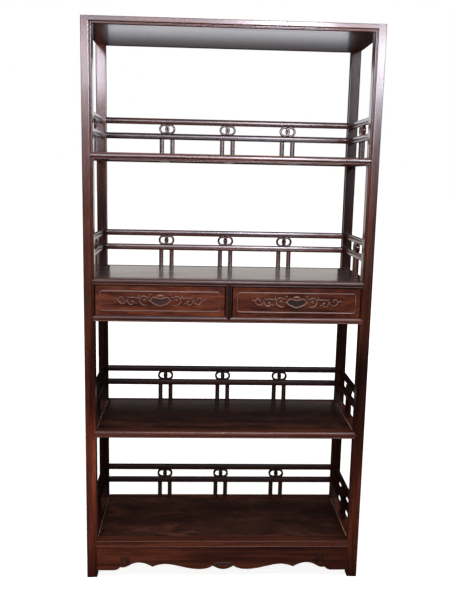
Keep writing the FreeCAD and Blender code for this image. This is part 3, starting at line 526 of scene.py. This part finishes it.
def planed_relief(tree, vector, threads, pores):
    """The fine grooves of threads and pores, on the low waves that a plane leaves."""
    relief = weighted(tree, threads, THREAD_RELIEF, pores, PORE_RELIEF)
    grooves = bump(tree, relief, GROOVE_STRENGTH, GROOVE_DEPTH)
    planed = bump(tree, layer(tree, vector, *WAVES), WAVE_STRENGTH, WAVE_DEPTH)
    tree.links.new(grooves.outputs["Normal"], planed.inputs["Normal"])
    return planed.outputs["Normal"]


def worn_varnish(tree, vector, place, ends):
    """How much varnish is left along a board that is worn at one end."""
    worn_end, sound_end, worn, sound = ends
    return spread(tree, axes_of(tree, vector)[0], place[0] + worn_end, place[0] + sound_end, worn, sound)


def wood(name, kind, grain, place, tone_and_shade=1.0, tone_and_light_stops=None, varnish_ends=None, pull_face=None):
    """Oiled and varnished hardwood: broad dark figure, fine streaks, short open pores, uneven polish, and on
    some boards painted light and shade.
    """
    rough, shine, varnish, varnish_rough = WOODS[kind][1]
    material, tree, shader = new_material(name)
    vector = grain_vector(tree, grain, place)
    threads = layer(tree, vector, *THREADS)
    pores = spread(tree, layer(tree, vector, *PORES), *PORE_LEVELS, 0.0, 1.0)
    clouds = layer(tree, vector, *CLOUDS)
    polish = spread(tree, clouds, *CLOUD_LEVELS, rough - POLISH_FINER, rough + POLISH_ROUGHER)
    colour = figured_colour(tree, vector, kind, tone_and_shade, threads, pores)
    roughness = weighted(tree, polish, 1.0, pores, PORE_ROUGHNESS)
    # Lightness along the board: partly its own tone, partly painted light and shade
    if tone_and_light_stops:
        colour = tone_and_light_along(tree, colour, vector, place, tone_and_light_stops)
    # Painted shade inside the finger pull, which is also rougher
    if pull_face is not None:
        inside = pull_depth(tree, pull_face)
        colour = scaled(tree, colour, spread(tree, inside, 0.0, 1.0, 1.0, PULL_SHADE))
        roughness = weighted(tree, roughness, 1.0, inside, PULL_ROUGHNESS)
    tree.links.new(colour, shader.inputs["Base Color"])
    tree.links.new(roughness, shader.inputs["Roughness"])
    tree.links.new(planed_relief(tree, vector, threads, pores), shader.inputs["Normal"])
    shader.inputs["Specular IOR Level"].default_value = shine
    shader.inputs["Coat Weight"].default_value = varnish
    shader.inputs["Coat Roughness"].default_value = varnish_rough
    if varnish_ends:
        tree.links.new(worn_varnish(tree, vector, place, varnish_ends), shader.inputs["Coat Weight"])
    return material


# Each board's own wood

def found(node, table, usual):
    """The table's value for the node, by the start of its name."""
    for start, value in table.items():
        if node.startswith(start):
            return value
    return usual


def grain_of(node):
    """The axis that a node's grain follows, or "round" for rails along the back and both sides."""
    if "post_" in node or "stiles" in node or node == "drawer_divider":
        return "Z"
    if node.endswith("gallery_rails"):
        return "round"
    if "side" in node or "battens" in node or "guides" in node:
        return "Y"
    return "X"


def board_place(number):
    """Where in the endless timber one board is cut, so that no two boards match."""
    return (BOARD_STEP_ALONG * number, BOARD_STEP_ACROSS * (number % BOARDS_ACROSS),
            BOARD_STEP_THROUGH * (number % BOARDS_THROUGH))


def pull_face_of(node):
    """Where a drawer front's face lies, or None for any other board."""
    if node.endswith("drawer_front"):
        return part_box(node)[0][1] + BORDER_RELIEF
    return None


for number, (node, piece) in enumerate(sorted(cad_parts.items())):
    for slot in piece.material_slots:
        kind = found(node, BOARD_KINDS, slot.material.name)
        slot.material = wood(node + "_" + kind, kind, grain_of(node), board_place(number),
                             found(node, BOARD_TONES_AND_SHADE, 1.0), BOARD_TONE_AND_LIGHT.get(node),
                             found(node, BOARD_VARNISH, None), pull_face_of(node))


# Carved lines and domes. In all of them at(across, up, rise) gives the place of a point.

def smooth_path(points):
    """Points along a smooth curve (Catmull-Rom) through the given points."""
    ends = [2 * points[0] - points[1]] + points + [2 * points[-1] - points[-2]]
    path = []
    for number in range(len(points) - 1):
        before, start, end, after = ends[number:number + 4]
        for step in range(PATH_STEPS):
            t = step / PATH_STEPS
            path.append(0.5 * (
                2 * start + (end - before) * t + (2 * before - 5 * start + 4 * end - after) * t * t
                + (3 * start - before - 3 * end + after) * t ** 3))
    return path + [points[-1]]


def taper_at(share, start_share, end_share):
    """A line's thickness at a share of its length, as a share of its full thickness."""
    taper = 1.0
    if share < start_share:
        taper = THIN_SHARE + (1 - THIN_SHARE) * math.sin(share / start_share * math.pi / 2)
    if 1 - share < end_share:
        taper = THIN_SHARE + (1 - THIN_SHARE) * math.sin((1 - share) / end_share * math.pi / 2)
    return taper


def line_ring(mesh, point, side, width, taper, at):
    """A cross-section of a line: its round top, and two points under the wood's face."""
    ring = []
    for step in range(LINE_STEPS):
        angle = math.pi * step / (LINE_STEPS - 1)
        spot = point + side * (math.cos(angle) * taper * width / 2)
        ring.append(mesh.verts.new(at(spot.x, spot.y, math.sin(angle) * taper * LINE_RISE)))
    for sign in (-1, 1):
        spot = point + side * (sign * taper * width / 2)
        ring.append(mesh.verts.new(at(spot.x, spot.y, -LINE_SINK)))
    return ring


def join_rings(mesh, rings):
    """The faces from each ring to the next."""
    for ring, following in zip(rings, rings[1:]):
        for number in range(len(ring)):
            beside = (number + 1) % len(ring)
            mesh.faces.new((ring[number], ring[beside], following[beside], following[number]))


def raised_line(mesh, points, width, start_share, end_share, at, smooth=True):
    """A raised line through the points, thin at its ends. The shares are the lengths of the two
    tapers."""
    path = [Vector(point) for point in points]
    if smooth:
        path = smooth_path(path)
    last = len(path) - 1
    rings = []
    for number, point in enumerate(path):
        ahead = path[min(number + 1, last)] - path[max(number - 1, 0)]
        side = Vector((ahead.y, -ahead.x)).normalized()
        rings.append(line_ring(mesh, point, side, width, taper_at(number / last, start_share, end_share), at))
    join_rings(mesh, rings)
    mesh.faces.new(rings[0][::-1])
    mesh.faces.new(rings[-1])


def dome_ring(mesh, across, up, half_width, half_height, rise, at):
    ring = []
    for turn in range(DOME_TURNS):
        angle = 2 * math.pi * turn / DOME_TURNS
        ring.append(mesh.verts.new(
            at(across + half_width * math.cos(angle), up + half_height * math.sin(angle), rise)))
    return ring


def dome(mesh, across, up, half_width, half_height, at):
    """A low round boss."""
    rings = []
    for level in range(DOME_LEVELS):
        angle = math.pi / 2 * level / DOME_LEVELS
        rings.append(dome_ring(mesh, across, up, half_width * math.cos(angle),
                               half_height * math.cos(angle), LINE_RISE * math.sin(angle), at))
    rings.insert(0, dome_ring(mesh, across, up, half_width, half_height, -LINE_SINK, at))
    join_rings(mesh, rings)
    top = mesh.verts.new(at(across, up, LINE_RISE))
    for turn in range(DOME_TURNS):
        mesh.faces.new((rings[-1][turn], rings[-1][(turn + 1) % DOME_TURNS], top))
    mesh.faces.new(rings[0][::-1])


def new_object(name, data):
    thing = bpy.data.objects.new(name, data)
    bpy.context.collection.objects.link(thing)
    return thing


def carved_piece(name, shape, body, place, kind):
    """A piece of the lines and domes that were drawn into the shape."""
    bmesh.ops.recalc_face_normals(shape, faces=shape.faces)
    mesh = bpy.data.meshes.new(name)
    shape.to_mesh(mesh)
    shape.free()
    for polygon in mesh.polygons:
        polygon.use_smooth = True
    piece = new_object(name, mesh)
    mesh.materials.append(wood(name + "_" + kind, kind, "X", place))
    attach(piece, body)


# Carving on the drawer fronts

def on_board(middle, face, height):
    """The function at for an upright board, with across and up counted from a middle."""
    def at(across, up, rise):
        return Vector((middle + across, face - rise, height + up))

    return at


def carving_places(shares, sign):
    """Places beside the finger pull, on the right with the sign 1 and on the left with -1."""
    return [(sign * across * CARVING_UNIT, up * CARVING_UNIT) for across, up in shares]


def draw_border(shape, half_width, half_height, at):
    """The painted highlight along the bead, a pale line: a long one with clipped corners above and below, and
    a straight one at each end."""
    long_line = [(-half_width, half_height - BORDER_CLIP), (BORDER_CLIP - half_width, half_height),
                 (half_width - BORDER_CLIP, half_height), (half_width, half_height - BORDER_CLIP)]
    for sign in (-1, 1):
        line = [(across, sign * up) for across, up in long_line]
        raised_line(shape, line, BORDER_LINE_WIDTH, 0.0, 0.0, at, smooth=False)
        end = [(sign * half_width, BORDER_CLIP - half_height), (sign * half_width, half_height - BORDER_CLIP)]
        raised_line(shape, end, BORDER_END_LINE_WIDTH, 0.0, 0.0, at, smooth=False)


def draw_pull_rim(shape, sign, at):
    """Half of the finger pull's rim, just outside the pull's outline."""
    rim = []
    for across, up in PULL_OUTLINE_SHARES:
        edge = Vector((sign * across * PULL_HALF_WIDTH, up * PULL_HALF_HEIGHT))
        rim.append(edge + edge.normalized() * (PULL_RIM_GAP + PULL_RIM_WIDTH / 2))
    raised_line(shape, rim, PULL_RIM_WIDTH, 0.0, 0.0, at)


def draw_scrolls(shape, sign, width_share, at):
    """The scroll lines on one side of the finger pull."""
    for width, start_share, end_share, shares in SCROLL_SHARES:
        raised_line(shape, carving_places(shares, sign), width * width_share, start_share, end_share, at)


def draw_domes(shape, dome_shares, sign, at):
    """Domes of the carving, on the side that the sign names."""
    for across, up, half_width, half_height in dome_shares:
        spot = carving_places([(across, up)], sign)[0]
        dome(shape, *spot, half_width * CARVING_UNIT, half_height * CARVING_UNIT, at)


def carve_drawer(side):
    """The carving on one drawer front, pale as painted highlight, and the painted shadow under its scrolls.
    """
    front = side + "_drawer_front"
    low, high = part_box(front)
    middle = (low[0] + high[0]) / 2
    height = (low[2] + high[2]) / 2
    face = low[1] + BORDER_RELIEF
    on_border = on_board(middle, face - BORDER_RELIEF / 2, height)
    on_face = on_board(middle, face, height - PULL_DROP)

    def on_shadow(across, up, rise):
        return on_face(across, up - SHADOW_DROP, rise * SHADOW_RISE_SHARE)

    carving = bmesh.new()
    shadow_lines = bmesh.new()
    draw_border(carving, (high[0] - low[0]) / 2 - BORDER_SIDE_MARGIN,
                (high[2] - low[2]) / 2 - BORDER_END_MARGIN, on_border)
    draw_domes(carving, MIDDLE_DOME_SHARES, 1, on_face)
    for sign in (1, -1):
        draw_pull_rim(carving, sign, on_face)
        draw_scrolls(carving, sign, 1.0, on_face)
        draw_domes(carving, SIDE_DOME_SHARES, sign, on_face)
        draw_scrolls(shadow_lines, sign, SHADOW_WIDTH_SHARE, on_shadow)
    cut = board_place(sorted(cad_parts).index(front))
    body = side + "_drawer"
    carved_piece(side + "_drawer_carving", carving, body, cut, "worn_ridge")
    carved_piece(side + "_drawer_carving_wax", shadow_lines, body, cut, "settled_wax")


carve_drawer("left")
carve_drawer("right")


# Carving on the front apron

apron_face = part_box("front_apron")[0][1]


def on_apron(across, up, rise):
    return Vector((across * APRON_UNIT, apron_face - rise * APRON_RISE_SHARE, up * APRON_UNIT))


def medallion_ring(sign):
    """A round line, closed where it starts."""
    ring = []
    for step in range(MEDALLION_STEPS + 1):
        angle = 2 * math.pi * step / MEDALLION_STEPS
        ring.append((sign * MEDALLION_ACROSS + MEDALLION_RADIUS * math.cos(angle),
                     MEDALLION_UP + MEDALLION_RADIUS * math.sin(angle)))
    return ring


def medallion_spiral(sign):
    """The spiral inside the ring, from the middle outwards."""
    spiral = []
    for step in range(SPIRAL_STEPS + 1):
        share = step / SPIRAL_STEPS
        angle = 2 * math.pi * SPIRAL_TURNS * share
        radius = SPIRAL_START_RADIUS + (SPIRAL_END_RADIUS - SPIRAL_START_RADIUS) * share
        spiral.append((sign * (MEDALLION_ACROSS + radius * math.cos(angle)),
                       MEDALLION_UP + radius * math.sin(angle)))
    return spiral


def carve_apron():
    """The ruyi head's arch in the middle, its scrolls under it, and a medallion near each end. The scrolls
    and medallions are dark lines: painted shade in carved grooves.
    """
    arch = bmesh.new()
    raised_line(arch, RUYI_ARCH, RUYI_LINE_WIDTH, APRON_TAPER_SHARE, APRON_TAPER_SHARE, on_apron)
    lines = bmesh.new()
    for sign in (-1, 1):
        scroll = [(sign * across, up) for across, up in RUYI_SCROLL]
        raised_line(lines, medallion_ring(sign), APRON_LINE_WIDTH, 0.0, 0.0, on_apron)
        for line in (medallion_spiral(sign), scroll):
            raised_line(lines, line, APRON_LINE_WIDTH, APRON_TAPER_SHARE, APRON_TAPER_SHARE, on_apron)
    carved_piece("apron_ruyi", arch, "cabinet", board_place(APRON_BOARD), "worn_apron")
    carved_piece("apron_medallions", lines, "cabinet", board_place(APRON_BOARD), "dark_apron")


carve_apron()


# Painted highlights on the seams of the shelves

def on_shelf(sign, edge, top):
    """The function at for a shelf, with across running back along the panel's edge and up
    running outwards from it."""
    def at(along, out, rise):
        return Vector((sign * (edge + out), along, top + rise * SEAM_RISE_SHARE))

    return at


def highlight_seams():
    """A thin pale line along both sides of each panel: a painted highlight."""
    seams = bmesh.new()
    for shelf in ("middle_shelf", "bottom_shelf"):
        low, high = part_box(shelf + "_panel")
        ends = [(low[1] + PANEL_TONGUE, 0.0), (high[1] - PANEL_TONGUE, 0.0)]
        for sign in (-1, 1):
            at = on_shelf(sign, high[0] - PANEL_TONGUE, high[2])
            raised_line(seams, ends, SEAM_WIDTH, 0.0, 0.0, at, smooth=False)
    carved_piece("shelf_seams", seams, "cabinet", board_place(SEAM_BOARD), "worn_seam")


highlight_seams()


# Floor and wall

def pale_floor():
    """Pale paint that glows more far out."""
    material, tree, shader = new_material("pale_floor")
    shader.inputs["Base Color"].default_value = (FLOOR_PALE, FLOOR_PALE, FLOOR_PALE, 1)
    shader.inputs["Roughness"].default_value = FLOOR_ROUGHNESS
    shader.inputs["Specular IOR Level"].default_value = 0.0
    shader.inputs["Emission Color"].default_value = (1, 1, 1, 1)
    distance = add(tree, "ShaderNodeVectorMath", operation="LENGTH")
    tree.links.new(object_coordinates(tree), distance.inputs[0])
    glow = spread(tree, distance.outputs["Value"], FLOOR_NEAR, FLOOR_FAR, FLOOR_NEAR_GLOW, FLOOR_FAR_GLOW)
    tree.links.new(glow, shader.inputs["Emission Strength"])
    return material


def painted_wall_glow():
    """A painted reflection: a glow that changes with height, with painted shadow bands. A ray that starts
    near the wall passes through it.
    """
    material = bpy.data.materials.new("plaster")
    material.use_nodes = True
    tree = material.node_tree
    tree.nodes.clear()
    share = math_node(tree, "DIVIDE", axes_of(tree, object_coordinates(tree))[2], WALL_HEIGHT)
    stops = []
    for glows, tint in ((WARM_GLOWS, WALL_WARM), (COOL_GLOWS, WALL_COOL)):
        for height, glow in glows:
            stops.append((height / WALL_HEIGHT, [glow * part for part in tint]))
    lit = tree.nodes.new("ShaderNodeEmission")
    tree.links.new(ramp(tree, share, stops), lit.inputs["Color"])
    ray = tree.nodes.new("ShaderNodeLightPath")
    far = math_node(tree, "GREATER_THAN", ray.outputs["Ray Length"], WALL_NEAR)
    clear = tree.nodes.new("ShaderNodeBsdfTransparent")
    either = tree.nodes.new("ShaderNodeMixShader")
    output = tree.nodes.new("ShaderNodeOutputMaterial")
    tree.links.new(far, either.inputs[0])
    tree.links.new(clear.outputs[0], either.inputs[1])
    tree.links.new(lit.outputs[0], either.inputs[2])
    tree.links.new(either.outputs[0], output.inputs["Surface"])
    return material


def flat_sheet(name, corners, material):
    mesh = bpy.data.meshes.new(name)
    mesh.from_pydata(corners, [], [(0, 1, 2, 3)])
    mesh.materials.append(material)
    return new_object(name, mesh)


floor_corners = [(x * FLOOR_HALF, y * FLOOR_HALF, 0.0) for x, y in ((-1, -1), (1, -1), (1, 1), (-1, 1))]
floor = flat_sheet("floor", floor_corners, pale_floor())
floor.visible_glossy = False
floor.visible_diffuse = False

wall_y = cad_box[1][1] + WALL_GAP
wall_corners = [(x * WALL_HALF, wall_y, z * WALL_HEIGHT) for x, z in ((-1, 0), (1, 0), (1, 1), (-1, 1))]
wall = flat_sheet("wall", wall_corners, painted_wall_glow())
wall.visible_camera = False
wall.visible_diffuse = False
wall.visible_shadow = False


# Camera

def camera_turn():
    """The camera's axes from its three angles."""
    ahead = Vector((math.sin(CAMERA_YAW) * math.cos(CAMERA_PITCH),
                    math.cos(CAMERA_YAW) * math.cos(CAMERA_PITCH), math.sin(CAMERA_PITCH)))
    level_right = Vector((math.cos(CAMERA_YAW), -math.sin(CAMERA_YAW), 0.0))
    level_up = level_right.cross(ahead)
    right = level_right * math.cos(CAMERA_ROLL) + level_up * math.sin(CAMERA_ROLL)
    up = level_up * math.cos(CAMERA_ROLL) - level_right * math.sin(CAMERA_ROLL)
    return Matrix((right, up, -ahead)).transposed().to_4x4()


camera_data = bpy.data.cameras.new("camera")
camera_data.lens = CAMERA_LENS
camera_data.sensor_width = CAMERA_SENSOR
camera_data.clip_end = CAMERA_REACH
camera = new_object("camera", camera_data)
camera.matrix_world = Matrix.Translation(CAMERA_PLACE) @ camera_turn()
bpy.context.scene.camera = camera


# Light

def area_light(name, place, target, width, height, watts, tint):
    data = bpy.data.lights.new(name, "AREA")
    data.shape = "RECTANGLE"
    data.size = width
    data.size_y = height
    data.energy = watts
    data.color = tint
    lamp = new_object(name, data)
    lamp.location = place
    lamp.rotation_euler = (Vector(target) - Vector(place)).to_track_quat("-Z", "Y").to_euler()
    lamp.visible_camera = False
    return lamp


for name, (place, width, height, watts) in GLARE_LIGHTS.items():
    lamp = area_light(name, place, GLARE_TARGET, width, height, watts, GLARE_TINT)
    lamp.visible_diffuse = False
for name, (place, target, width, height, watts) in SOFT_LIGHTS.items():
    lamp = area_light(name, place, target, width, height, watts, SOFT_TINT)
    lamp.visible_glossy = name == "above"


def studio_world():
    """White for the camera, and two dimmer even lights, one for gloss and one for the rest."""
    world = bpy.data.worlds.new("studio")
    world.use_nodes = True
    sky = world.node_tree
    sky.nodes.clear()
    output = sky.nodes.new("ShaderNodeOutputWorld")
    ray = sky.nodes.new("ShaderNodeLightPath")
    white = add(sky, "ShaderNodeBackground", Color=(1, 1, 1, 1), Strength=BACKGROUND_GLOW)
    ambient = add(sky, "ShaderNodeBackground", Color=(*SOFT_TINT, 1), Strength=AMBIENT)
    gloss = add(sky, "ShaderNodeBackground", Color=(*GLARE_TINT, 1), Strength=AMBIENT_GLOSS)
    for_gloss = sky.nodes.new("ShaderNodeMixShader")
    for_camera = sky.nodes.new("ShaderNodeMixShader")
    sky.links.new(ray.outputs["Is Glossy Ray"], for_gloss.inputs[0])
    sky.links.new(ambient.outputs[0], for_gloss.inputs[1])
    sky.links.new(gloss.outputs[0], for_gloss.inputs[2])
    sky.links.new(ray.outputs["Is Camera Ray"], for_camera.inputs[0])
    sky.links.new(for_gloss.outputs[0], for_camera.inputs[1])
    sky.links.new(white.outputs[0], for_camera.inputs[2])
    sky.links.new(for_camera.outputs[0], output.inputs["Surface"])
    return world


bpy.context.scene.world = studio_world()
bpy.context.scene.view_settings.view_transform = "Standard"
